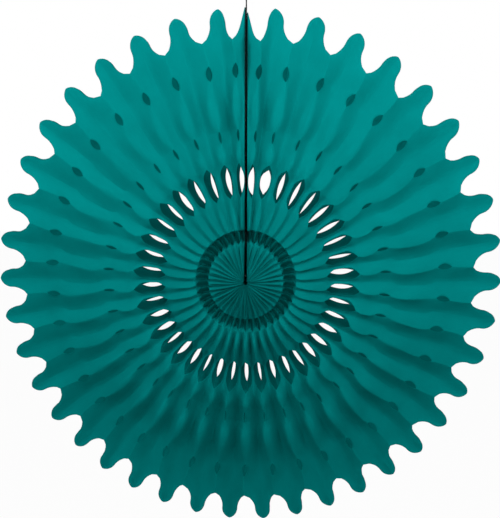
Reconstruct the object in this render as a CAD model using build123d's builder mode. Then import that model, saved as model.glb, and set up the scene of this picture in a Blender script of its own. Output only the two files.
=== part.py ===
"""Honeycomb tissue fan, opened into a full disc and hung by a string at its seam.

A stack of die-cut tissue leaves is glued leaf to leaf along alternate lines and swung through a full
turn. The leaves part into a ring of tubes, each a diamond in section: glue lines on the disc's middle
plane join tube to tube, and the front and back edges of the leaves, glued in pairs, are its ridges.

Millimetres. The disc stands in the XZ plane, its front towards -Y and its seam at the top, towards +Z.
"""

import os
from math import cos, pi, sin, sqrt

from build123d import *

os.makedirs("parts", exist_ok=True)

# The disc
tip_radius = 200.0  # from the centre to the tips of the teeth, across the disc
hang_stretch = 1.03  # how much taller than wide the hanging disc stands
notch_radius = 177.4  # from the centre to the notches between the teeth
eye_radius = 3.0  # opening at the centre, round the knot
leaf_half_width = 14.2  # from a leaf's middle glue line to its front or back edge
paper = 0.45  # thickness of the wall that stands for a leaf and its glue
glue_half_band = 0.6  # half the height of the glue line between two tubes
widest_spread = 0.9  # half width of a tube, as a share of the leaf, past which its walls stop flattening
hollow_start = 1.8  # thicknesses of paper by which two walls have parted where a hollow begins

# The pleats round the disc
tooth_count = 40  # whole teeth; two half teeth meet at the seam
seam_pitch = 0.65  # width of the two tubes beside the seam, as a share of the others
sag = 0.055  # how far the pleats at the sides slip down the hanging disc, in radians

# The die cuts along a leaf's front edge
groove_inner = 29.0
groove_outer = 39.5
groove_depth = 11.0
hole_radius = 76.0  # centre of the hole ring
hole_length = 26.0
hole_floor = 14.0  # length of the hole at its full depth
hole_depth = 9.3
seam_hole_depth = 12.7  # in the two leaves on the cards, whose holes open to the seam
lens_cuts = ((111.0, 2.4), (156.0, 2.7))  # radius and depth of the two rings of small lens-shaped cuts
lens_length = 14.0

# The die cuts along a leaf's back edge: a slit behind each hole
slit_length = 20.0
slit_depth = 3.3
wide_slit_tube = 1  # this tube's slit has opened as wide as its hole
wide_slit_depth = 9.0

# The flank of a tooth, from the notch to the tip: share of its length, and share of the leaf that is left
tooth_row = 0.3  # share of a tooth's length at which its glue line has a corner
tooth_flank = ((0.0, 1.0), (0.12, 0.72), (0.42, 0.49), (0.84, 0.36), (1.0, 0.0))

# The string, its knots and the loop it hangs by
string_diameter = 1.1
string_foot = 2.5  # height of the string's lower end above the centre
string_length = 214.5
centre_knot_diameter = 3.0
centre_knot_height = 2.6
loop_knot_diameter = 3.6
loop_knot_height = 3.4
knot_margin = 0.1  # by which the loop's knot stands out past its two strands
knot_taper = 1 / 3  # share of a knot's height that each of its ends tapers over
knot_sides = 8
loop_height = 26.0  # from the knot to the top of the loop
loop_half_width = 5.0  # at the middle of the string
loop_neck = 4.0  # straight start of each leg, above the knot
loop_corner_radius = 4.2
loop_sides = 6

# The two end cards, on either side of the string
card_thickness = 0.6
card_half_depth = 6.4
card_waist = 0.5  # share of that depth left at the hole ring
card_foot_gap = 0.3  # between the centre knot and the cards' lower ends
card_slip = 3.6  # how far the right-hand card's tip has slid down
card_clearance = 0.1  # between the cards and the inner ends of the tubes

tube_count = tooth_count + 1
string_radius = string_diameter / 2
seam_half = string_radius + card_thickness
pitch = 2 * pi / (tooth_count - 1 + 2 * seam_pitch)


# Layout of the pleats

def line_angle(line):
    """Angle of a glue line from the top, clockwise seen from the front."""
    even = (line - 1 + seam_pitch) * pitch
    return even + sag * sin(even)


def glue_point(line, radius):
    """Point on a glue line, on the disc's middle plane; the first and last lines lie on the end cards."""
    if line == 0:
        return Vector(seam_half, 0, hang_stretch * radius * (1 - card_slip / tip_radius))
    if line == tube_count:
        return Vector(-seam_half, 0, hang_stretch * radius)
    return Vector(sin(line_angle(line)), 0, hang_stretch * cos(line_angle(line))) * radius


def is_seam_tube(tube):
    return tube in (0, tube_count - 1)


def seam_tube_radius(half_width):
    """Radius at which a tube beside the seam, squeezed in next to its card, is this wide."""
    return (seam_half + 2 * half_width) / sin(line_angle(1))


def start_radius(tube):
    """Inner end of a tube: the eye, or further out where the cards take the room."""
    if is_seam_tube(tube):
        return seam_tube_radius(paper)
    room = min(line_angle(tube), 2 * pi - line_angle(tube + 1), pi / 2)
    return max(eye_radius, (seam_half + card_clearance) / sin(room))


def cavity_radius(tube):
    """Radius inside the groove at which a tube's walls have parted enough to leave a hollow between them."""
    parted = hollow_start * paper
    radius = parted / sin(pitch / 2)
    if is_seam_tube(tube):
        radius = seam_tube_radius(parted)
    return min(max(radius, start_radius(tube) + paper), groove_inner - paper)


# Outline that the die leaves of a leaf: radius, and share of the half width

def cut(centre, length, floor, depth):
    share = 1 - depth / leaf_half_width
    ends = [(centre - length / 2, 1.0), (centre + length / 2, 1.0)]
    low = [(centre - floor / 2, share), (centre + floor / 2, share)]
    return [ends[0]] + low[: 2 if floor else 1] + [ends[1]]


tooth_length = tip_radius - notch_radius
tooth = [(notch_radius + along * tooth_length, share) for along, share in tooth_flank]

groove = cut((groove_inner + groove_outer) / 2, groove_outer - groove_inner, 0, groove_depth)
hole = cut(hole_radius, hole_length, hole_floor, hole_depth)
seam_hole = cut(hole_radius, hole_length, hole_floor, seam_hole_depth)
lenses = [point for radius, depth in lens_cuts for point in cut(radius, lens_length, 0, depth)]
front_outline = groove + hole + lenses + tooth
seam_front_outline = groove + seam_hole + lenses + tooth
back_outline = cut(hole_radius, slit_length, 0, slit_depth) + tooth
wide_back_outline = cut(hole_radius, hole_length, hole_floor, wide_slit_depth) + tooth
seam_back_outline = cut(hole_radius, slit_length, hole_floor, seam_hole_depth) + tooth

# Radii at which a glue line has a corner of the facets
lens_radii = [radius for radius, depth in lens_cuts]
glue_rows = [hole_radius, *lens_radii, notch_radius + tooth_row * tooth_length, tip_radius]

FRONT, BACK = -1, 1
LEFT, RIGHT = 0, 1
SAME_POINT = 1e-6


def leaf_point(tube, side, face, radius, share, inside):
    """Corner on the wall between a tube's glue line (share 0) and its ridge (share 1)."""
    glue = glue_point(tube + side, radius)
    across = (glue_point(tube + 1 - side, radius) - glue) / 2
    width = across.length
    height = sqrt(leaf_half_width**2 - min(width, widest_spread * leaf_half_width) ** 2)
    rise = height - glue_half_band
    slope = sqrt(width**2 + rise**2)
    along = share * slope
    out = 0.0
    if inside:
        out = paper
        along = max(along, paper * (slope - rise) / width)
        along = min(along, slope - paper * rise / width)
    sideways = (along * width + out * rise) / slope
    depth = glue_half_band + (along * rise - out * width) / slope
    return glue + across * (sideways / width) + Vector(0, face * depth, 0)


def strip(near, far):
    """Triangles between two edges that run outwards side by side, each a list of (radius, point)."""
    facets = []
    i = j = 0
    while i < len(near) - 1 or j < len(far) - 1:
        on_near = j == len(far) - 1 or (i < len(near) - 1 and near[i + 1][0] <= far[j + 1][0])
        third = near[i + 1] if on_near else far[j + 1]
        corners = [near[i][1], far[j][1], third[1]]
        if min((corners[2] - corner).length for corner in corners[:2]) > SAME_POINT:
            facets.append(corners)
        i += on_near
        j += not on_near
    return facets


def glue_edge(tube, side, face, inside):
    """Edge of a wall along its glue line, with corners where the tubes beside it and their hollows begin."""
    start = cavity_radius(tube) if inside else start_radius(tube)
    radii = set(glue_rows)
    for beside in (tube, tube - 1 + 2 * side):
        if 0 <= beside < tube_count:
            radii |= {start_radius(beside), cavity_radius(beside)}
    radii = sorted(radius for radius in radii if radius >= start)
    return [(radius, leaf_point(tube, side, face, radius, 0, inside)) for radius in radii]


def cut_edge(tube, side, face, inside):
    """Edge of a wall along its ridge, cuts and tooth: radius, point and share."""
    start = cavity_radius(tube) if inside else start_radius(tube)
    outline = front_outline if face == FRONT else back_outline
    if (tube, side) in ((0, LEFT), (tube_count - 1, RIGHT)):
        outline = seam_front_outline if face == FRONT else seam_back_outline
    elif face == BACK and tube == wide_slit_tube:
        outline = wide_back_outline
    ridge = [(start_radius(tube), 1.0), (cavity_radius(tube), 1.0)]
    outline = [corner for corner in ridge + outline if corner[0] >= start]
    return [(r, leaf_point(tube, side, face, r, share, inside), share) for r, share in outline]


def wall(tube, side, face):
    """Facets of one wall: its outside, its inside and the paper's thickness along the cuts."""
    facets = []
    edges = {}
    for inside in (False, True):
        edges[inside] = cut_edge(tube, side, face, inside)
        facets += strip(glue_edge(tube, side, face, inside), edges[inside])
    inner = edges[True]
    outer = edges[False][-len(inner) :]
    for k in range(len(inner) - 1):
        if min(outer[k][2], outer[k + 1][2]) < 1:
            facets += strip(outer[k : k + 2], inner[k : k + 2])
    return facets


def end_ring(tube, radius, inside):
    """The diamond that closes a tube's wall, or its hollow, at the inner end."""
    walk = [(LEFT, FRONT, 0), (LEFT, FRONT, 1), (RIGHT, FRONT, 0)]
    walk += [(RIGHT, BACK, 0), (RIGHT, BACK, 1), (LEFT, BACK, 0)]
    return [leaf_point(tube, side, face, radius, share, inside) for side, face, share in walk]


def glue_flats(tube, side):
    """Facets along a glue line: inside the tube, at the tip, and where no neighbour covers it."""
    inner = [glue_edge(tube, side, face, True) for face in (FRONT, BACK)]
    outer = [glue_edge(tube, side, face, False) for face in (FRONT, BACK)]
    facets = strip(*inner)
    facets += strip([outer[0][-1], outer[1][-1]], [inner[0][-1], inner[1][-1]])
    neighbour = tube - 1 + 2 * side
    covered_from = start_radius(neighbour) if 0 <= neighbour < tube_count else tip_radius
    bare = [[corner for corner in edge if corner[0] <= covered_from] for edge in outer]
    return facets + strip(*bare)


def tube_facets(tube):
    facets = [end_ring(tube, start_radius(tube), False), end_ring(tube, cavity_radius(tube), True)]
    for side in (LEFT, RIGHT):
        facets += glue_flats(tube, side)
        for face in (FRONT, BACK):
            facets += wall(tube, side, face)
    return facets


# The tissue: every tube's walls, closed into one solid
with BuildPart() as honeycomb_tissue:
    corners_of_facets = [facet for tube in range(tube_count) for facet in tube_facets(tube)]
    add(Solid(Shell([Face(Wire.make_polygon(facet)) for facet in corners_of_facets])))
honeycomb_tissue.part.label = "honeycomb_tissue"
export_step(honeycomb_tissue.part, "parts/honeycomb_tissue.step")


# The end cards, flat against the outermost glue lines
card_foot = string_foot + card_foot_gap


def card_outline(tip):
    """A strip with a tooth at its tip and the hole ring's cut on both edges."""
    with BuildSketch(mode=Mode.PRIVATE) as outline:
        flank = [
            (card_half_depth * share, tip - hang_stretch * (1 - along) * tooth_length)
            for along, share in tooth_flank
        ]
        with BuildLine():
            feet = [(card_half_depth, card_foot), (-card_half_depth, card_foot)]
            Polyline(*[(-y, z) for y, z in flank], *reversed(flank[:-1]), *feet, close=True)
        make_face()
        for edge in (-card_half_depth, card_half_depth):
            waist = edge * card_waist
            corners = [(edge, -hole_length), (edge, hole_length), (waist, hole_floor), (waist, -hole_floor)]
            hole_corners = [(y, hang_stretch * (hole_radius + z / 2)) for y, z in corners]
            Polygon(*hole_corners, align=None, mode=Mode.SUBTRACT)
    return outline.sketch


with BuildPart() as end_card_right:
    with BuildSketch(Plane.YZ.offset(string_radius)):
        add(card_outline(hang_stretch * (tip_radius - card_slip)))
    extrude(amount=card_thickness)
end_card_right.part.label = "end_card_right"
export_step(end_card_right.part, "parts/end_card_right.step")

with BuildPart() as end_card_left:
    with BuildSketch(Plane.YZ.offset(-seam_half)):
        add(card_outline(hang_stretch * tip_radius))
    extrude(amount=card_thickness)
end_card_left.part.label = "end_card_left"
export_step(end_card_left.part, "parts/end_card_left.step")


# The string and its knots
with BuildPart() as hanging_string:
    with BuildSketch(Plane.XY.offset(string_foot)):
        Circle(string_radius)
    extrude(amount=string_length)
hanging_string.part.label = "hanging_string"
export_step(hanging_string.part, "parts/hanging_string.step")


def knot_sections(bottom, height, diameter, flat):
    """Heights and radii of a barrel-shaped knot, with a flat at each end for the string."""
    bulge = diameter / 2
    sections = [(0, flat), (knot_taper, bulge), (1 - knot_taper, bulge), (1, flat)]
    return [(bottom + share * height, radius) for share, radius in sections]


with BuildPart() as centre_knot:
    foot = string_foot - centre_knot_height
    for height, radius in knot_sections(foot, centre_knot_height, centre_knot_diameter, string_diameter):
        with BuildSketch(Plane.XY.offset(height)):
            RegularPolygon(radius, side_count=knot_sides)
    loft(ruled=True)
centre_knot.part.label = "centre_knot"
export_step(centre_knot.part, "parts/centre_knot.step")

string_top = string_foot + string_length
loop_foot = string_top + loop_knot_height
with BuildPart() as loop_knot:
    strands = string_diameter + knot_margin
    for height, radius in knot_sections(string_top, loop_knot_height, loop_knot_diameter, strands):
        with BuildSketch(Plane.XY.offset(height)):
            RegularPolygon(radius, side_count=knot_sides)
    loft(ruled=True)
loop_knot.part.label = "loop_knot"
export_step(loop_knot.part, "parts/loop_knot.step")

# The loop: two legs that leave the knot side by side and a bend that joins them at the top
with BuildPart() as hanging_loop:
    loop_top = loop_foot + loop_height - string_radius
    left_leg = [
        (-string_radius, loop_foot),
        (-string_radius, loop_foot + loop_neck),
        (-loop_half_width, loop_top - loop_half_width),
        (-loop_half_width, loop_top),
    ]
    right_leg = [(-x, z) for x, z in reversed(left_leg)]
    with BuildLine(Plane.XZ) as loop_path:
        FilletPolyline(*left_leg, *right_leg, radius=loop_corner_radius)
    with BuildSketch(Plane(loop_path.line @ 0, z_dir=loop_path.line % 0)):
        RegularPolygon(string_radius, side_count=loop_sides)
    sweep()
hanging_loop.part.label = "hanging_loop"
export_step(hanging_loop.part, "parts/hanging_loop.step")

cards = [end_card_right, end_card_left]
strings = [hanging_string, centre_knot, loop_knot, hanging_loop]
for piece in [honeycomb_tissue] + cards + strings:
    print(f"{piece.part.label}: {piece.part.volume:.1f} mm3")
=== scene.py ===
# %% [markdown]
# # A honeycomb tissue fan
# A stack of die-cut tissue leaves is glued leaf to leaf and swung open through a full turn.
# Two strips of card close the stack, meet at the top and hold the black string that the disc hangs by.
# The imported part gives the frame: its origin is the disc's centre, the front faces -Y and up is +Z.

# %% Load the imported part
from math import cos, pi, radians, sin, tau

import bpy
import numpy as np
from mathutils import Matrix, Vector


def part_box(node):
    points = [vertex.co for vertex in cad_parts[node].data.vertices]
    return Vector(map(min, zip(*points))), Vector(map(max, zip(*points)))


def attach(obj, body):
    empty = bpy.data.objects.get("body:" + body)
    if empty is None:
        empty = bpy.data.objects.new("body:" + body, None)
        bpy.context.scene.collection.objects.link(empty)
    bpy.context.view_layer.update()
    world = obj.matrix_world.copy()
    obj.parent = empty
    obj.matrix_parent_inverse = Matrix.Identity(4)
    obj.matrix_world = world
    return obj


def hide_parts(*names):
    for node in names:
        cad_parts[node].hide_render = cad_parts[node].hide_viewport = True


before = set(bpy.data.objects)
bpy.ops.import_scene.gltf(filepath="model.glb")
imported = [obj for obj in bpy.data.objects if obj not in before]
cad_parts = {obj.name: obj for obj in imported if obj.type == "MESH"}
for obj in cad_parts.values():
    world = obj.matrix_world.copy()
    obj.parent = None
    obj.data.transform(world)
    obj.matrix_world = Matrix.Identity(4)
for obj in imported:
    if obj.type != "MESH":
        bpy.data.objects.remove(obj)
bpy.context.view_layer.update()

MM = 0.001
print("nodes:", sorted(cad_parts))

# %% [markdown]
# ## The camera
# The picture was taken from close by, a little above the centre and a little to its right.
# That shows in its rings: the wider a ring is, the further its middle lies above the hub.
# So distance and height come from those shifts, and a small lens shift sets the framing.

# %% Camera at the picture's viewpoint
PICTURE_WIDTH, PICTURE_HEIGHT = 500, 518
CENTRE_PIXEL = (246.4, 279.2)  # where the disc's centre shows
FOCAL_PIXELS = 625.0
VIEW_DISTANCE = 0.5
VIEW_ELEVATION = radians(9.0)
VIEW_AZIMUTH = radians(2.5)
SENSOR = 36.0

scene = bpy.context.scene
scene.view_settings.view_transform = "Standard"
bpy.ops.object.camera_add(
    location=(
        VIEW_DISTANCE * cos(VIEW_ELEVATION) * sin(VIEW_AZIMUTH),
        -VIEW_DISTANCE * cos(VIEW_ELEVATION) * cos(VIEW_AZIMUTH),
        VIEW_DISTANCE * sin(VIEW_ELEVATION),
    ),
    rotation=(pi / 2 - VIEW_ELEVATION, 0, VIEW_AZIMUTH),
)
camera = bpy.context.object
camera.name = "camera"
camera.data.sensor_width = SENSOR
camera.data.lens = FOCAL_PIXELS * SENSOR / PICTURE_HEIGHT
camera.data.shift_x = (PICTURE_WIDTH / 2 - CENTRE_PIXEL[0]) / PICTURE_HEIGHT
camera.data.shift_y = (CENTRE_PIXEL[1] - PICTURE_HEIGHT / 2) / PICTURE_HEIGHT
camera.data.clip_start = 0.01
scene.camera = camera
print(f"camera: lens {camera.data.lens:.1f} mm, {VIEW_DISTANCE} m away")

# %% [markdown]
# ## The string
# A thin twisted cord runs from a knot at the centre, up between the two cards, to the loop that it hangs by.
# It carries the fan, so it is straight. A plain tube would look like wire from near by, so three plies
# are wound round its line: the line is a smooth spline, and each ply follows points read from it.

# %% Helpers for objects and lines
ROUTE_STEPS = 24  # points between two corners of a smooth line


def link_new(name, data):
    thing = bpy.data.objects.new(name, data)
    scene.collection.objects.link(thing)
    return thing


def select_only(thing):
    bpy.ops.object.select_all(action="DESELECT")
    thing.select_set(True)
    bpy.context.view_layer.objects.active = thing


def new_curve(name):
    curve = bpy.data.curves.new(name, "CURVE")
    curve.dimensions = "3D"
    return curve


def add_line(curve, kind, points):
    """Adds a spline of this kind with these control points."""
    spline = curve.splines.new(kind)
    spline.points.add(len(points) - 1)
    spline.points.foreach_set("co", np.column_stack([points, np.ones(len(points))]).ravel())
    return spline


def as_smooth_mesh(name, curve):
    """Turns a curve with a round section into a mesh object."""
    select_only(link_new(name, curve))
    bpy.ops.object.convert(target="MESH")
    bpy.ops.object.shade_smooth()
    return bpy.context.object


def route_points(name, corners):
    """Points along the smooth spline that has these corners as its control points."""
    curve = new_curve(name)
    curve.resolution_u = ROUTE_STEPS
    spline = add_line(curve, "NURBS", corners)
    spline.order_u = 3
    spline.use_endpoint_u = True
    carrier = link_new(name, curve)
    bpy.context.view_layer.update()
    line = bpy.data.meshes.new_from_object(carrier)
    points = np.array([vertex.co for vertex in line.vertices])
    bpy.data.objects.remove(carrier)
    bpy.data.curves.remove(curve)
    bpy.data.meshes.remove(line)
    return points


def along_line(points):
    """How far along the line each of its points lies."""
    steps = np.linalg.norm(np.diff(points, axis=0), axis=1)
    return np.concatenate([[0], np.cumsum(steps)])


print(f"smooth lines have {ROUTE_STEPS} points between corners")

# %% Plies wound round a line
STRING_RADIUS = 0.55 * MM
PLY_COUNT = 3
PLY_RADIUS = 0.29 * MM
PLY_OFFSET = STRING_RADIUS - PLY_RADIUS
PLY_PITCH = 3.6 * MM
PLY_STEPS_A_TURN = 10


def wound_plies(name, points):
    """A mesh of plies wound round a line."""
    travelled = along_line(points)
    length = travelled[-1]
    turns = max(1, round(length / PLY_PITCH))
    at = np.linspace(0, length, turns * PLY_STEPS_A_TURN + 1)
    middle = np.column_stack([np.interp(at, travelled, points[:, axis]) for axis in range(3)])
    ahead = np.gradient(middle, axis=0)
    ahead /= np.linalg.norm(ahead, axis=1)[:, None]
    side = np.cross(ahead, (0, 1, 0))
    side /= np.linalg.norm(side, axis=1)[:, None]
    up = np.cross(ahead, side)
    curve = new_curve(name)
    curve.bevel_depth = PLY_RADIUS
    curve.bevel_resolution = 1
    curve.use_fill_caps = True
    for ply in range(PLY_COUNT):
        angle = tau * (at / length * turns + ply / PLY_COUNT)
        outward = np.cos(angle)[:, None] * side + np.sin(angle)[:, None] * up
        add_line(curve, "POLY", middle + PLY_OFFSET * outward)
    return as_smooth_mesh(name, curve)


print(f"{PLY_COUNT} plies, a turn in {PLY_PITCH / MM:.1f} mm")

# %% The string between the knots
STRING_FOOT = 2.5 * MM
STRING_TOP = 217.0 * MM
string_route = [(0, 0, STRING_FOOT), (0, 0, (STRING_FOOT + STRING_TOP) / 2), (0, 0, STRING_TOP)]
string_line = route_points("string_route", string_route)
string = wound_plies("hanging_cord", string_line)
print(f"string: {len(string.data.polygons)} faces, {along_line(string_line)[-1]:.4f} m")

# %% [markdown]
# ## Knots and loop
# Both knots are overhand knots. A bead would do from a step away, but not from near by. Such a knot,
# drawn tight, is a trefoil: a line that winds twice round an axis while it weaves three times through
# itself, so one formula gives both. The loop goes up from the upper knot in two legs.

# %% The two knots
KNOT_STEPS = 72
KNOT_STRAND = 0.8 * MM
CENTRE_KNOT_RADIUS = 1.6 * MM
CENTRE_KNOT_TAIL = 1.3 * MM  # how far its lower bend reaches into the disc's eye
LOOP_KNOT_RADIUS = 2.0 * MM


def overhand_knot(name, bottom, top, radius):
    turn = np.linspace(0, tau, KNOT_STEPS, endpoint=False)
    reach = radius - KNOT_STRAND
    half = (top - bottom) / 2 - KNOT_STRAND
    x = (np.sin(turn) + 2 * np.sin(2 * turn)) / 3 * reach
    y = (np.cos(turn) - 2 * np.cos(2 * turn)) / 3 * reach
    z = (bottom + top) / 2 - np.sin(3 * turn) * half
    curve = new_curve(name)
    curve.bevel_depth = KNOT_STRAND
    curve.bevel_resolution = 3
    spline = add_line(curve, "POLY", np.column_stack([x, y, z]))
    spline.use_cyclic_u = True
    return as_smooth_mesh(name, curve)


knots = {}
for node, radius, tail in (
    ("centre_knot", CENTRE_KNOT_RADIUS, CENTRE_KNOT_TAIL),
    ("loop_knot", LOOP_KNOT_RADIUS, 0),
):
    low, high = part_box(node)
    knots[node] = overhand_knot(node + "_tied", low.z - tail, high.z, radius)
    print(f"{node}: {len(knots[node].data.polygons)} faces")

# %% The loop above the upper knot
LOOP_HALF_WIDTH = 5.0 * MM
LOOP_NECK = 4.0 * MM
loop_low, loop_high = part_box("hanging_loop")
loop_crest = loop_high.z - STRING_RADIUS
loop_leg = [
    (-STRING_RADIUS, 0, loop_low.z),
    (-STRING_RADIUS, 0, loop_low.z + LOOP_NECK),
    (-LOOP_HALF_WIDTH, 0, loop_crest - LOOP_HALF_WIDTH),
    (-LOOP_HALF_WIDTH, 0, loop_crest),
]
loop_route = loop_leg + [(-x, y, z) for x, y, z in reversed(loop_leg)]
loop_line = route_points("loop_route", loop_route)
loop = wound_plies("loop_cord", loop_line)
print(f"loop: {len(loop.data.polygons)} faces, {along_line(loop_line)[-1]:.4f} m")

# %% [markdown]
# ## How the pleats lie round the disc
# Glue lines on the disc's middle plane join the leaves into tubes. Between two glue lines the front
# edges of a tube's two leaves are glued together, and that makes a ridge. The lines are even round
# the disc, apart from the two narrow tubes at the seam. The disc hangs, so it stands a little taller
# than it is wide, and the lines at its sides slip down. The rules are the part's own, but the slip,
# measured once more on the picture, is a little larger here than in the solid, and the leaves begin
# closer to the centre.

# %% Layout of the glue lines
TIP_RADIUS = 200.0 * MM
NOTCH_RADIUS = 177.4 * MM
EYE_RADIUS = 1.9 * MM  # where the leaves begin
HANG_STRETCH = 1.03
TOOTH_COUNT = 40
TUBE_COUNT = TOOTH_COUNT + 1
SEAM_PITCH = 0.65  # width of the two tubes at the seam, as a share of the others
SAG = 0.068  # slip at the sides, in radians
SEAM_HALF = 1.15 * MM  # from the middle of the string to the outside of a card
SEAM_GAP = 0.1 * MM
CARD_SLIP = 3.6 * MM  # how far the right-hand card has slid down at its tip
PITCH = tau / (TOOTH_COUNT - 1 + 2 * SEAM_PITCH)


def line_angle(line):
    """Angle of a glue line, clockwise from the top."""
    even = (line - 1 + SEAM_PITCH) * PITCH
    return even + SAG * sin(even)


def glue_line(line, radius):
    """Points of a glue line at these radii; the first and last lines lie on the cards."""
    flat = np.zeros_like(radius)
    if line == 0:
        slipped = radius * (1 - CARD_SLIP / TIP_RADIUS)
        return np.stack([flat + SEAM_HALF, flat, HANG_STRETCH * slipped], axis=-1)
    if line == TUBE_COUNT:
        return np.stack([flat - SEAM_HALF, flat, HANG_STRETCH * radius], axis=-1)
    angle = line_angle(line)
    x = radius * sin(angle)
    if cos(angle) > 0:
        x = np.copysign(np.maximum(np.abs(x), SEAM_HALF + SEAM_GAP), x)
    return np.stack([x, flat, HANG_STRETCH * radius * cos(angle)], axis=-1)


def inner_end(tube):
    """Radius at which a tube's leaves begin: the eye, or further out beside the cards."""
    room = max(min(line_angle(k), tau - line_angle(k)) for k in (tube, tube + 1))
    return max(EYE_RADIUS, (SEAM_HALF + 2 * SEAM_GAP) / sin(min(room, pi / 2)))


print(f"{TUBE_COUNT} tubes, {np.degrees(PITCH):.2f} degrees apart")

# %% [markdown]
# ## The die
# Every leaf is stamped to the same outline: a tooth at the rim, two small lens-shaped nicks, a long
# nick with pointed ends that opens into a hole, and a groove round the hub. A slit in each hole goes
# right through the disc. The shapes could be cut out of the sheet with booleans, but then the paper
# could no longer be bent row by row. So the outline is kept as one number for each radius: the share
# of the leaf's half width that the die leaves standing.

# %% Nicks of the die
LEAF_HALF_WIDTH = 14.2 * MM
GROOVE = (29.0 * MM, 39.5 * MM, 11.0 * MM)  # from, to, depth, as in the other nicks
GROOVE_FULLNESS = 4.0  # a larger number makes a squarer nick
HOLE = (63.0 * MM, 89.0 * MM, 11.6 * MM)
HOLE_TAPER = 0.62  # share of a hole's half length over which its pointed ends widen
LENSES = ((104.0 * MM, 113.5 * MM, 1.8 * MM), (149.5 * MM, 161.0 * MM, 2.75 * MM))
LENS_FULLNESS = 2.0


def from_middle(radius, start, end):
    """0 in the middle of a nick, 1 at its ends."""
    return np.abs(2 * radius - start - end) / (end - start)


def nick(radius, limits, fullness):
    start, end, depth = limits
    return depth * np.clip(1 - from_middle(radius, start, end) ** fullness, 0, None)


def pointed_nick(radius, limits, taper):
    start, end, depth = limits
    return depth * np.sin(pi / 2 * np.clip((1 - from_middle(radius, start, end)) / taper, 0, 1))


print(f"a hole is {(HOLE[1] - HOLE[0]) / MM:.0f} mm long and up to {HOLE[2] / MM:.1f} mm deep")

# %% Teeth of the die
TOOTH_LENGTH = TIP_RADIUS - NOTCH_RADIUS
KNOB_LENGTH = 10.0 * MM
KNOB_SHARE = 0.45  # width of a tooth's knob, as a share of its foot
KNOB_FULLNESS = 0.6
FOOT_FLARE = 1.9
NOTCH_SHARE = 0.25  # share of the flare that turns into the round notch
NOTCH_SHARPNESS = 8
SEAM_SPIKE = 0.62  # width of the spike on a card above its flared foot, as a share of that foot
SEAM_LEAVES = ((0, 0), (TUBE_COUNT - 1, 1))  # tube and side of the leaves on the cards


def tooth_share(radius):
    """Share of a tooth that stands: a round-ended knob on a foot that flares to round notches."""
    down = np.clip(TIP_RADIUS - radius, 0, TOOTH_LENGTH)
    knob = (1 - np.clip(1 - down / KNOB_LENGTH, 0, 1) ** 2) ** KNOB_FULLNESS
    foot = np.clip((down - KNOB_LENGTH) / (TOOTH_LENGTH - KNOB_LENGTH), 0, 1)
    flare = (1 - NOTCH_SHARE) * foot**FOOT_FLARE + NOTCH_SHARE * (1 - np.sqrt(1 - foot**NOTCH_SHARPNESS))
    return KNOB_SHARE * knob + (1 - KNOB_SHARE) * flare


def seam_tooth_share(radius):
    """The half tooth that lies along a card is a slim spike."""
    down = np.clip((TIP_RADIUS - radius) / TOOTH_LENGTH, 0, 1)
    return SEAM_SPIKE * down + (1 - SEAM_SPIKE) * down**NOTCH_SHARPNESS


print(f"teeth: {TOOTH_LENGTH / MM:.1f} mm long")

# %% [markdown]
# ## What differs from tube to tube
# The slits have come open by different amounts, and one beside the seam gapes as wide as its hole.
# The leaves on the cards are held apart by the string, so their holes open right through. The holes
# gape more towards the bottom, where the hanging leaves fall apart. Seeded numbers give the small
# differences, so the fan comes out the same each time.

# %% What the die leaves standing
SLIT = (65.2 * MM, 86.8 * MM, 4.1 * MM)
SLIT_RANGE = (0.7, 1.3)
WIDE_SLIT = (66.5 * MM, 85.5 * MM, 9.0 * MM)
WIDE_SLIT_TUBE = 1
SEAM_SLIT = (65.0 * MM, 87.0 * MM, 13.6 * MM)
SLIT_FULLNESS = 2.0
OPEN_SLIT_FULLNESS = 2.6
SEAM_GAPE = 1.6  # nicks of the two narrow tubes gape as wide as the others
HOLE_EASE = 0.22  # how much less the holes gape at the top than at the bottom
HUB_SLOT = 2.6 * MM  # depth of the slot between the two leaves of a tube at the hub
HUB_SLOT_END = 4.0 * MM  # length over which it runs out, next to the groove
slit_luck = np.random.default_rng(5).uniform(*SLIT_RANGE, TUBE_COUNT)


def slit_cut(radius, tube, side):
    """Depth of the slit that goes through the disc."""
    if (tube, side) in SEAM_LEAVES:
        return nick(radius, SEAM_SLIT, OPEN_SLIT_FULLNESS)
    if tube == WIDE_SLIT_TUBE:
        return nick(radius, WIDE_SLIT, OPEN_SLIT_FULLNESS)
    return nick(radius, SLIT, SLIT_FULLNESS) * slit_luck[tube]


def front_cut(radius, tube, slit):
    """Depth of all that is cut into the front edge, with its slit."""
    slot = HUB_SLOT * slit_luck[tube] * np.clip((GROOVE[0] - radius) / HUB_SLOT_END, 0, 1)
    hole_gape = 1 - HOLE_EASE * (1 + cos(line_angle(tube + 0.5))) / 2
    cut = np.maximum(hole_gape * pointed_nick(radius, HOLE, HOLE_TAPER), slit + slot)
    cut = cut + nick(radius, GROOVE, GROOVE_FULLNESS)
    gape = SEAM_GAPE if tube in (0, TUBE_COUNT - 1) else 1
    for lens in LENSES:
        cut = cut + gape * nick(radius, lens, LENS_FULLNESS)
    return cut


def standing_share(radius, front, tube, side):
    """Share of the half width that the die leaves standing, at the front or the back of a leaf."""
    cut = slit_cut(radius, tube, side)
    if front:
        cut = front_cut(radius, tube, cut)
    tooth = seam_tooth_share(radius) if (tube, side) in SEAM_LEAVES else tooth_share(radius)
    return np.minimum(1 - cut / LEAF_HALF_WIDTH, tooth)


print(f"slits: {slit_luck.min():.2f} to {slit_luck.max():.2f} of their usual depth")

# %% [markdown]
# ## One flat leaf
# A leaf is a grid: rows run across it, columns run from the hub to the rim. The rows lie close together
# where the outline turns. The front half has more columns than the back, because it is the side that
# shows. Two columns run along the middle: between them lies the band that is glued and pressed to the
# next leaf.

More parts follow.
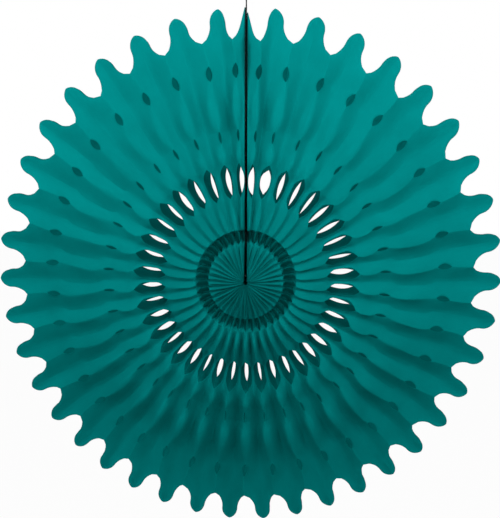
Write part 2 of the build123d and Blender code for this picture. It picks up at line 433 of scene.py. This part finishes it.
# %% Rows of a leaf
ROW_COUNTS = (9, 6, 8, 16, 4, 9, 8, 9, 5)  # in the hub, groove, hole, lenses and the spans between
TOOTH_ROWS = 18


def row_radii():
    stops = [EYE_RADIUS, *GROOVE[:2], *HOLE[:2], *LENSES[0][:2], *LENSES[1][:2], NOTCH_RADIUS]
    rows = [np.linspace(a, b, n, endpoint=False) for a, b, n in zip(stops, stops[1:], ROW_COUNTS)]
    rows.append(TIP_RADIUS - TOOTH_LENGTH * np.linspace(1, 0, TOOTH_ROWS) ** 2)
    return np.concatenate(rows)


ROWS = row_radii()
print(f"{len(ROWS)} rows from {ROWS[0]:.3f} to {ROWS[-1]:.3f} m")

# %% The flat leaf
FRONT_COLUMNS, BACK_COLUMNS = 8, 4
column_count = FRONT_COLUMNS + BACK_COLUMNS + 2
bpy.ops.object.select_all(action="DESELECT")
bpy.ops.mesh.primitive_grid_add(x_subdivisions=column_count - 1, y_subdivisions=len(ROWS) - 1, size=1)
flat_leaf = bpy.context.object
flat_leaf.name = "flat_leaf"
order = np.lexsort(
    (
        np.round([v.co.x for v in flat_leaf.data.vertices], 6),
        np.round([v.co.y for v in flat_leaf.data.vertices], 6),
    )
)
columns = np.concatenate(
    [np.linspace(-1, 0, FRONT_COLUMNS + 1), np.linspace(0, 1, BACK_COLUMNS + 1)]
)
is_front = np.arange(column_count) <= FRONT_COLUMNS
print(f"flat leaf: {len(flat_leaf.data.polygons)} faces")

# %% [markdown]
# ## Swinging the leaves into place
# Between its glue line and its ridge a leaf is not flat. Neighbouring tubes lie pressed together from
# the middle plane almost to the front, so only the last part of each wall shows: it leaves this valley
# in a soft round bend and rises to the ridge. Just outside each nick the ridge is broad and soft, and it
# sharpens towards the next one. Between nicks it bows forward, droops and wanders a little to either
# side. The hub is a shallow dome of leaves that lean over each other. A cloth simulation would have to
# find all of this by chance, so rules for each row of a leaf say where the paper goes.

# %% Seeded differences between the leaves
luck = np.random.default_rng(11)
tube_phase = luck.uniform(0, tau, (TUBE_COUNT, 2))
leaf_phase = luck.uniform(0, tau, (TUBE_COUNT, 2, 2))
leaf_tone = luck.uniform(-1, 1, (TUBE_COUNT, 2))
hub_lean = luck.uniform(-1, 1, TUBE_COUNT)
hub_height = luck.uniform(-1, 1, TUBE_COUNT)
print(f"{leaf_tone.size} leaves get their own tone and buckle")

# %% The section of a wall
GLUE_HALF_BAND = 0.6 * MM
WIDEST_SPREAD = 0.9  # half width of a tube, as a share of the leaf, past which its walls stop flattening
RIDGE_SLOPE = 0.38  # how steeply the walls rise from where neighbouring tubes press together
TOP_EASE = 0.3  # how much flatter the pleats lie in the upper half
TOP_RISE, TOP_FOCUS = 2.0, 12  # how much steeper close to the top, apart from those on the cards
BOTTOM_RISE, BOTTOM_FOCUS = 2.1, 4  # how much steeper at the bottom
HUB_RISE = 1.7 * MM  # height of a ridge above its valley near the hub
HUB_SLOPE = 1.2
HOLE_PARTING = 0.35  # how far the tubes part again in a hole; in the groove they part all the way


def wall_lift(share, valley, ridge):
    """Height of a flat wall with a round bend at its valley and a flatter one at its ridge."""
    slope = 1 / (1 - valley / 2 - ridge * 2 / 3)
    straight = slope * (share - valley / 2)
    low = slope * share**2 / (2 * valley)
    high = 1 - slope * (1 - share) ** 3 / (3 * ridge**2)
    return np.where(share < valley, low, np.where(share > 1 - ridge, high, straight))


def ridge_height(half_width):
    """How far a ridge stands from the middle plane in a tube of this half width."""
    return np.sqrt(LEAF_HALF_WIDTH**2 - np.minimum(half_width, WIDEST_SPREAD * LEAF_HALF_WIDTH) ** 2)


def wall_slope(line):
    """How steeply the walls beside a glue line rise, by its place on the disc."""
    upward = cos(line_angle(line))
    if upward <= 0:
        return RIDGE_SLOPE * (1 + BOTTOM_RISE * upward**BOTTOM_FOCUS)
    on_card = line in (0, TUBE_COUNT)
    return RIDGE_SLOPE * (1 - TOP_EASE * upward + (0 if on_card else TOP_RISE * upward**TOP_FOCUS))


def valley_height(line, radius):
    """How far in front of the middle plane the tubes beside a glue line lie pressed together."""
    half_width = radius * PITCH / 2
    shown = np.maximum(wall_slope(line) * half_width, np.minimum(HUB_SLOPE * half_width, HUB_RISE))
    in_groove = nick(radius, GROOVE, GROOVE_FULLNESS) / GROOVE[2]
    in_hole = pointed_nick(radius, HOLE, HOLE_TAPER) / HOLE[2]
    parted = np.maximum(in_groove, HOLE_PARTING * in_hole)
    pressed = np.clip(ridge_height(half_width) - shown - GLUE_HALF_BAND, 0, None)
    return GLUE_HALF_BAND + pressed * (1 - parted)


side_slope, bottom_slope = wall_slope(TUBE_COUNT // 4), wall_slope(TUBE_COUNT // 2)
print(f"slope of the walls: {side_slope:.2f} at the side, {bottom_slope:.2f} at the bottom")

# %% The course of a ridge
SPAN_STARTS = (GROOVE[1], HOLE[1], LENSES[0][1])
SPAN_ENDS = (HOLE[0], LENSES[0][0], LENSES[1][0])
BOW = 0.03  # forward bow of a ridge, as a share of its span
BOTTOM_BOW = 0.07  # what is added to it at the bottom
BOW_LEAD = 0.7  # below 1, a bow is fullest in the inner half of its span
WANDER = 1.2 * MM
WANDER_LENGTH = 52.0 * MM
SHARP_RIDGE = 0.05  # share of a wall that its ridge takes next to a nick
BROAD_RIDGE = 0.6  # what is added where the ridge is broadest
SIDE_SHARPNESS = 0.53  # how much less is added at the disc's sides
BREADTH_LEAD = 0.6  # below 1, a ridge is broadest in the inner half of its span


def span_share(radius):
    """How far along its span between two nicks each radius lies, and the span's length (0 in a nick)."""
    share = np.zeros_like(radius)
    length = np.zeros_like(radius)
    for start, end in zip(SPAN_STARTS, SPAN_ENDS):
        inside = (radius >= start) & (radius <= end)
        share = np.where(inside, (radius - start) / (end - start), share)
        length = np.where(inside, end - start, length)
    return share, length


def ridge_bow(tube, radius):
    """How far a ridge bows to the front."""
    on_span, span_length = span_share(radius)
    downward = max(0, -cos(line_angle(tube + 0.5)))
    return (BOW + BOTTOM_BOW * downward) * span_length * np.sin(pi * on_span**BOW_LEAD) ** 2


def ridge_wander(tube, radius):
    """How far a ridge strays to the side, more towards the rim."""
    wave = np.sin(tau * radius / WANDER_LENGTH + tube_phase[tube, 0])
    return WANDER * wave * np.clip(radius / NOTCH_RADIUS, 0, 1)


def ridge_breadth(tube, radius):
    """Share of a wall that the bend of its ridge takes."""
    sideways = abs(sin(line_angle(tube + 0.5)))
    swell = np.sin(pi * span_share(radius)[0] ** BREADTH_LEAD)
    return SHARP_RIDGE + (BROAD_RIDGE - SIDE_SHARPNESS * sideways) * swell


print("ridges span", [f"{(end - start) / MM:.1f} mm" for start, end in zip(SPAN_STARTS, SPAN_ENDS)])

# %% The corners of a swung leaf
VALLEY_BEND = 0.25  # share of a wall that the round bend of its valley takes
BOTTOM_BEND = 0.08  # what is added to it at the bottom
DROOP = 1.5 * MM  # how far a ridge sinks between two nicks
VALLEY_DROOP = 2.8 * MM  # how far a valley sinks between the two lens rows
SWIRL = 0.1  # how far the ridges lean clockwise, as a share of a wall
NARROWEST = 1.0 * MM  # half width of a tube below which it wanders less
HUB_BULGE = 6.0 * MM
HUB_LEAN = 0.7  # how far a ridge of the hub leans aside, as a share of a wall
HUB_UNEVEN = 0.8 * MM
BUCKLE = 0.35 * MM
BUCKLE_LENGTH = 38.0 * MM
UNCUT_SHARE = 0.999
FREE_EDGE = 1.2 * MM  # width of the darker line along a cut edge


def leaf_rows(tube):
    """Radii of a tube's rows; those inside the groove move up to where its leaves begin."""
    start = inner_end(tube)
    squeeze = (GROOVE[0] - start) / (GROOVE[0] - EYE_RADIUS)
    return np.where(ROWS < GROOVE[0], start + (ROWS - EYE_RADIUS) * squeeze, ROWS)


def sinking(radius):
    """How far a ridge and the valley beside it sink at these radii."""
    on_span, span_length = span_share(radius)
    slack = np.where(span_length > 0, 1 - (2 * on_span - 1) ** 4, 0)
    between_lenses = (radius > LENSES[0][1]) & (radius <= LENSES[1][0])
    return DROOP * slack, VALLEY_DROOP * np.where(between_lenses, slack, 0)


def leaf_points(tube, side):
    """A leaf by row and column: its corners, their places when flat, and 0 at a cut edge to 1 inside."""
    line = tube + side
    radius = leaf_rows(tube)
    glue = glue_line(line, radius)
    across = (glue_line(tube + 1 - side, radius) - glue) / 2
    half_width = np.linalg.norm(across, axis=-1)
    near_hub = np.clip(1 - (radius / GROOVE[0]) ** 2, 0, 1)
    front_crest = ridge_height(radius * PITCH / 2) + ridge_bow(tube, radius)
    front_crest = front_crest + HUB_UNEVEN * hub_height[tube] * near_hub
    front_valley = valley_height(line, radius)
    bend = VALLEY_BEND + BOTTOM_BEND * max(0, -cos(line_angle(line)))
    breadth = ridge_breadth(tube, radius)
    lean = SWIRL + ridge_wander(tube, radius) / np.maximum(half_width, NARROWEST)
    lean = (lean + HUB_LEAN * hub_lean[tube] * near_hub) * (1 if side == 0 else -1)
    buckle = BUCKLE * np.sin(tau * radius / BUCKLE_LENGTH + leaf_phase[tube, side, 0])
    droop, valley_droop = sinking(radius)
    points = np.zeros((len(radius), column_count, 3))
    places = np.zeros((len(radius), column_count, 3))
    from_edge = np.ones((len(radius), column_count))
    for k, column in enumerate(columns):
        front = bool(is_front[k])
        standing = standing_share(radius, front, tube, side)
        share = np.abs(column) * standing
        lift = wall_lift(share, bend, breadth)
        low, high = (front_valley, front_crest) if front else (GLUE_HALF_BAND, ridge_height(half_width))
        depth = low + (high - low) * lift + buckle * np.sin(pi * share)
        points[:, k] = glue + across * (share + lean * share**2)[:, None]
        points[:, k, 1] += -depth - HUB_BULGE * near_hub if front else depth
        points[:, k, 2] -= droop * share**2
        if front and 0 < line < TUBE_COUNT:
            points[:, k, 2] -= valley_droop * (1 - share) ** 2
        places[:, k, 0] = radius
        places[:, k, 1] = column * standing * LEAF_HALF_WIDTH
        places[:, k, 2] = 2 * tube + side
        inside = np.clip((standing - share) * LEAF_HALF_WIDTH / FREE_EDGE, 0, 1)
        from_edge[:, k] = np.where(standing < UNCUT_SHARE, inside, 1)
    return points, places, from_edge


print(f"{column_count} columns, {np.count_nonzero(is_front)} of them in front")

# %% Swinging and joining the leaves
QUARTERS = ("upper_right", "lower_right", "lower_left", "upper_left")


def in_mesh_order(by_row):
    """Values given by row and column, put in the order of the flat leaf's corners."""
    values = by_row.reshape(len(order), -1)
    placed = np.zeros_like(values)
    placed[order] = values
    return placed.ravel()


def swung_leaf(tube, side):
    mesh = flat_leaf.data.copy()
    points, places, from_edge = leaf_points(tube, side)
    mesh.vertices.foreach_set("co", in_mesh_order(points))
    own = mesh.attributes.new("leaf_place", "FLOAT_VECTOR", "POINT")
    own.data.foreach_set("vector", in_mesh_order(places))
    inner = mesh.attributes.new("from_edge", "FLOAT", "POINT")
    inner.data.foreach_set("value", in_mesh_order(from_edge))
    tone = mesh.attributes.new("tone", "FLOAT", "POINT")
    tone.data.foreach_set("value", np.full(len(order), leaf_tone[tube, side]))
    if side == 0:
        mesh.flip_normals()
    mesh.update()
    return link_new(f"leaf_{tube}_{side}", mesh)


def join_leaves(name, leaves):
    bpy.ops.object.select_all(action="DESELECT")
    for leaf in leaves:
        leaf.select_set(True)
    bpy.context.view_layer.objects.active = leaves[0]
    bpy.ops.object.join()
    whole = bpy.context.object
    whole.name = name
    whole.data.name = name
    return whole


leaves = [swung_leaf(tube, side) for tube in range(TUBE_COUNT) for side in (0, 1)]
stops = [round(k * len(leaves) / len(QUARTERS)) for k in range(len(QUARTERS) + 1)]
tissue = [
    join_leaves("tissue_" + name, leaves[a:b]) for name, a, b in zip(QUARTERS, stops, stops[1:])
]
bpy.data.objects.remove(flat_leaf)
print("leaves joined into", [quarter.name for quarter in tissue])

# %% [markdown]
# ## Finish of the tissue
# Tissue is dyed in the pulp, so its colour is even, with faint clouds, fine fibres and a little
# difference from leaf to leaf. It is thin enough to let some light through. One plain colour would look
# like plastic, so noise laid out on each flat leaf tints it, and half of the surface passes light on.
# Deep between the leaves light is lost in many layers of paper. A few bounces of light don't show that,
# so shade is painted in: the insides of the tubes are painted darker, and the paper is painted darker
# towards the hub.

# %% Helpers for finishes
def new_material(name):
    material = bpy.data.materials.new(name)
    material.use_nodes = True
    return material, material.node_tree.nodes, material.node_tree.links


def scaled_noise(nodes, links, vector, scale, detail, size=(1, 1, 1)):
    mapping = nodes.new("ShaderNodeMapping")
    mapping.inputs["Scale"].default_value = size
    noise = nodes.new("ShaderNodeTexNoise")
    noise.inputs["Scale"].default_value = scale
    noise.inputs["Detail"].default_value = detail
    links.new(vector, mapping.inputs["Vector"])
    links.new(mapping.outputs["Vector"], noise.inputs["Vector"])
    return noise.outputs["Fac"]


def spread(nodes, links, value, low, high, start=0):
    """Maps the range from start to 1 on to low..high."""
    node = nodes.new("ShaderNodeMapRange")
    node.inputs["From Min"].default_value = start
    node.inputs["To Min"].default_value = low
    node.inputs["To Max"].default_value = high
    links.new(value, node.inputs["Value"])
    return node.outputs["Result"]


def joined(nodes, links, operation, a, b):
    """Two values joined by a sum, product or the like."""
    node = nodes.new("ShaderNodeMath")
    node.operation = operation
    links.new(a, node.inputs[0])
    links.new(b, node.inputs[1])
    return node.outputs[0]


def shaded(nodes, links, colour, level):
    """A colour made lighter or darker by a level."""
    node = nodes.new("ShaderNodeVectorMath")
    node.operation = "SCALE"
    node.inputs[0].default_value = colour
    links.new(level, node.inputs["Scale"])
    return node.outputs["Vector"]


def attribute(nodes, name, output):
    node = nodes.new("ShaderNodeAttribute")
    node.attribute_name = name
    return node.outputs[output]


print("finish helpers ready")

# %% Tone of the paper, with shade painted by radius
# Painted shade for the faces inside the tubes, by radius, for the shade deep between the leaves; 1 means
# none.
INSIDE_PAINTED_SHADE = (  # radius in metres and the tone there
    (0.02, 0.55), (0.03, 1.0), (0.04, 1.0), (0.063, 0.48), (0.09, 0.48), (0.105, 0.45),
)
# Painted shade for the faces that show: darker towards the hub, where the leaves crowd and shade each other.
OUTSIDE_PAINTED_SHADE = ((0.0, 0.76), (0.027, 0.76), (0.031, 0.86), (0.06, 0.86), (0.08, 1.0))
CLOUD_SCALE, FIBRE_SCALE = 60, 900
LEAF_STEP = 0.37  # moves the noise on from leaf to leaf
FIBRE_STRETCH = 0.25  # fibres lie along the leaf
CLOUD_TINT = (0.92, 1.08)  # darkest and lightest
FIBRE_TINT = (0.95, 1.05)
LEAF_TINT = (0.96, 1.04)
EDGE_TINT = (0.8, 1.0)  # at a cut edge and inside it


# Painted shade: a ramp by radius that darkens the paper.
def painted_shade_by_radius(nodes, links, place, shade_tones):
    outward = nodes.new("ShaderNodeSeparateXYZ")
    links.new(place, outward.inputs["Vector"])
    ramp = nodes.new("ShaderNodeValToRGB")
    elements = ramp.color_ramp.elements
    for position, _ in shade_tones[1:]:
        elements.new(position)
    elements.remove(elements[-1])
    for element, (position, tone) in zip(elements, shade_tones):
        element.position = position
        element.color = (tone, tone, tone, 1)
    links.new(outward.outputs["X"], ramp.inputs["Fac"])
    return ramp.outputs["Color"]


def paper_level(nodes, links, place, fibres, shade_tones):
    """How light the paper is at each place, from all that tints it and from the shade painted by radius."""
    clouds = scaled_noise(nodes, links, place, CLOUD_SCALE, 3, (1, 1, LEAF_STEP))
    tints = (
        spread(nodes, links, attribute(nodes, "tone", "Fac"), *LEAF_TINT, start=-1),
        spread(nodes, links, fibres, *FIBRE_TINT),
        spread(nodes, links, attribute(nodes, "from_edge", "Fac"), *EDGE_TINT),
        painted_shade_by_radius(nodes, links, place, shade_tones),
    )
    level = spread(nodes, links, clouds, *CLOUD_TINT)
    for tint in tints:
        level = joined(nodes, links, "MULTIPLY", level, tint)
    return level


print(f"tone at the rim: {OUTSIDE_PAINTED_SHADE[-1][1]} outside, {INSIDE_PAINTED_SHADE[-1][1]} inside the tubes")

# %% Tissue paper
TISSUE_COLOUR = (0.0, 0.36, 0.355)
GLOW_COLOUR = (0.0, 0.80, 0.79)
GLOW_SHARE = 0.5


def tissue_paper(name, shade_tones):
    material, nodes, links = new_material(name)
    surface = nodes["Principled BSDF"]
    place = attribute(nodes, "leaf_place", "Vector")
    fibres = scaled_noise(nodes, links, place, FIBRE_SCALE, 2, (FIBRE_STRETCH, 1, LEAF_STEP))
    level = paper_level(nodes, links, place, fibres, shade_tones)
    links.new(shaded(nodes, links, TISSUE_COLOUR, level), surface.inputs["Base Color"])
    surface.inputs["Roughness"].default_value = 0.9
    surface.inputs["Specular IOR Level"].default_value = 0.03
    bump = nodes.new("ShaderNodeBump")
    bump.inputs["Strength"].default_value = 0.15
    bump.inputs["Distance"].default_value = 0.1 * MM
    links.new(fibres, bump.inputs["Height"])
    links.new(bump.outputs["Normal"], surface.inputs["Normal"])
    glow = nodes.new("ShaderNodeBsdfTranslucent")
    links.new(shaded(nodes, links, GLOW_COLOUR, level), glow.inputs["Color"])
    mix = nodes.new("ShaderNodeMixShader")
    mix.inputs["Fac"].default_value = GLOW_SHARE
    links.new(surface.outputs["BSDF"], mix.inputs[1])
    links.new(glow.outputs["BSDF"], mix.inputs[2])
    links.new(mix.outputs["Shader"], nodes["Material Output"].inputs["Surface"])
    return material


# The second finish, for the faces inside the tubes, carries more painted shade than the first.
paper_finishes = [
    tissue_paper("teal_tissue", OUTSIDE_PAINTED_SHADE),
    tissue_paper("teal_tissue_inside_painted_shade", INSIDE_PAINTED_SHADE),
]
print("tissue finishes:", [finish.name for finish in paper_finishes])

# %% [markdown]
# ## Thickness of the leaves
# A leaf so far is a sheet without thickness. The Solidify modifier gives it a second face, and that face,
# which looks into the tube, takes the finish with painted shade. Real tissue is thinner still. This is thick
# enough to keep the two faces apart in every bend.

# %% Thickness and finish of the leaves
LEAF_THICKNESS = 0.14 * MM
SHARP_ANGLE = radians(40)
for quarter in tissue:
    select_only(quarter)
    quarter.data.materials.clear()
    for finish in paper_finishes:
        quarter.data.materials.append(finish)
    thicken = quarter.modifiers.new("paper", "SOLIDIFY")
    thicken.thickness = LEAF_THICKNESS
    thicken.offset = -1
    # The face that looks into the tube takes the second finish, with its painted shade.
    thicken.material_offset = 1
    bpy.ops.object.modifier_apply(modifier=thicken.name)
    bpy.ops.object.shade_smooth_by_angle(angle=SHARP_ANGLE)
    triangles = sum(len(p.vertices) - 2 for p in quarter.data.polygons)
    print(f"{quarter.name}: {triangles} triangles")

# %% [markdown]
# ## Card and string
# The cards show only their edges, deep in the seam where the leaves shade them, and their near-black teal is
# painted shade. The string is a black cord. Both are matt, with a fine grain, so one recipe serves for
# either, each with its own colour and grain.

# %% Finish of the cards and the string
# The cards' near-black teal is painted shade for edges that lie deep in the seam.
CARD_SHADE_COLOUR = (0.002, 0.02, 0.02)
CORD_COLOUR = (0.008, 0.008, 0.009)


def grained_finish(name, colour, grain_scale, grain_range, roughness):
    material, nodes, links = new_material(name)
    surface = nodes["Principled BSDF"]
    place = nodes.new("ShaderNodeTexCoord").outputs["Object"]
    grain = scaled_noise(nodes, links, place, grain_scale, 3)
    level = spread(nodes, links, grain, *grain_range)
    links.new(shaded(nodes, links, colour, level), surface.inputs["Base Color"])
    surface.inputs["Roughness"].default_value = roughness
    surface.inputs["Specular IOR Level"].default_value = 0.05
    return material


card_shade_finish = grained_finish(
    "card_painted_shade", CARD_SHADE_COLOUR, grain_scale=1400, grain_range=(0.75, 1.25), roughness=0.8
)
cord_finish = grained_finish(
    "black_cord", CORD_COLOUR, grain_scale=5000, grain_range=(0.6, 1.5), roughness=0.7
)
cords = {"hanging_string": string, "hanging_loop": loop, **knots}
for node in ("end_card_right", "end_card_left"):
    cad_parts[node].data.materials.clear()
    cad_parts[node].data.materials.append(card_shade_finish)
for piece in cords.values():
    piece.data.materials.clear()
    piece.data.materials.append(cord_finish)
print("card and cord finished")

# %% [markdown]
# ## Riding the frame
# Nothing on a paper fan turns, so every piece rides on the one body.

# %% Pieces to bodies
for quarter in tissue:
    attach(quarter, "root")
    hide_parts("honeycomb_tissue")
for node, piece in cords.items():
    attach(piece, "root")
    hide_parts(node)

# %% [markdown]
# ## Light, floor and surroundings
# Two lamps in front of the disc, above it to the left and right, light its upper half more than its lower
# one. A third behind it shines through the paper. The surroundings are white where they are seen, and
# dim where they only give light, so that the folds keep their shadows.

# %% Lamps
ASIDE, BEFORE, ABOVE = 0.2, 0.31, 0.28  # where the front lamps stand, in metres from the disc's centre
FRONT_AIM = (0, 0, 0.1)
FRONT_SIZE, FRONT_WATTS = 0.3, 1.18
BACK_PLACE = (0, 0.6, 0.3)
BACK_AIM = (0, 0, 0)
BACK_SIZE, BACK_WATTS = 0.6, 1.6


def add_lamp(name, place, aim, size, watts):
    bpy.ops.object.light_add(type="AREA", location=place)
    lamp = bpy.context.object
    lamp.name = name
    lamp.data.shape = "DISK"
    lamp.data.size = size
    lamp.data.energy = watts
    lamp.visible_camera = False
    lamp.rotation_euler = (Vector(aim) - Vector(place)).to_track_quat("-Z", "Y").to_euler()
    return lamp


lamps = [
    add_lamp("left_lamp", (-ASIDE, -BEFORE, ABOVE), FRONT_AIM, FRONT_SIZE, FRONT_WATTS),
    add_lamp("right_lamp", (ASIDE, -BEFORE, ABOVE), FRONT_AIM, FRONT_SIZE, FRONT_WATTS),
    add_lamp("back_lamp", BACK_PLACE, BACK_AIM, BACK_SIZE, BACK_WATTS),
]
print("lamps:", [lamp.name for lamp in lamps])

# %% Floor and white surroundings
FLOOR_LEVEL, FLOOR_SIZE = -0.45, 12
FLOOR_WHITENESS = 0.97  # share of the floor's look that is plain white
FILL_LIGHT = 0.13  # light of the surroundings, where they are seen as 1


def seen_ray(nodes, links):
    """1 for rays that look at the surroundings, straight, in a mirror or through glass."""
    path = nodes.new("ShaderNodeLightPath")
    seen = path.outputs["Is Camera Ray"]
    for name in ("Is Glossy Ray", "Is Transmission Ray"):
        seen = joined(nodes, links, "MAXIMUM", seen, path.outputs[name])
    return seen


bpy.ops.mesh.primitive_plane_add(size=FLOOR_SIZE, location=(0, 0, FLOOR_LEVEL))
floor = bpy.context.object
floor.name = "floor"
floor_finish, nodes, links = new_material("white_floor")
nodes["Principled BSDF"].inputs["Base Color"].default_value = (0.85, 0.85, 0.85, 1)
nodes["Principled BSDF"].inputs["Roughness"].default_value = 0.9
white = nodes.new("ShaderNodeEmission")
blend = nodes.new("ShaderNodeMixShader")
links.new(spread(nodes, links, seen_ray(nodes, links), 0, FLOOR_WHITENESS), blend.inputs["Fac"])
links.new(nodes["Principled BSDF"].outputs["BSDF"], blend.inputs[1])
links.new(white.outputs["Emission"], blend.inputs[2])
links.new(blend.outputs["Shader"], nodes["Material Output"].inputs["Surface"])
floor.data.materials.append(floor_finish)

world = bpy.data.worlds.new("studio")
scene.world = world
world.use_nodes = True
nodes, links = world.node_tree.nodes, world.node_tree.links
around = nodes["Background"]
around.inputs["Color"].default_value = (1, 1, 1, 1)
links.new(spread(nodes, links, seen_ray(nodes, links), FILL_LIGHT, 1), around.inputs["Strength"])
print("stage ready")
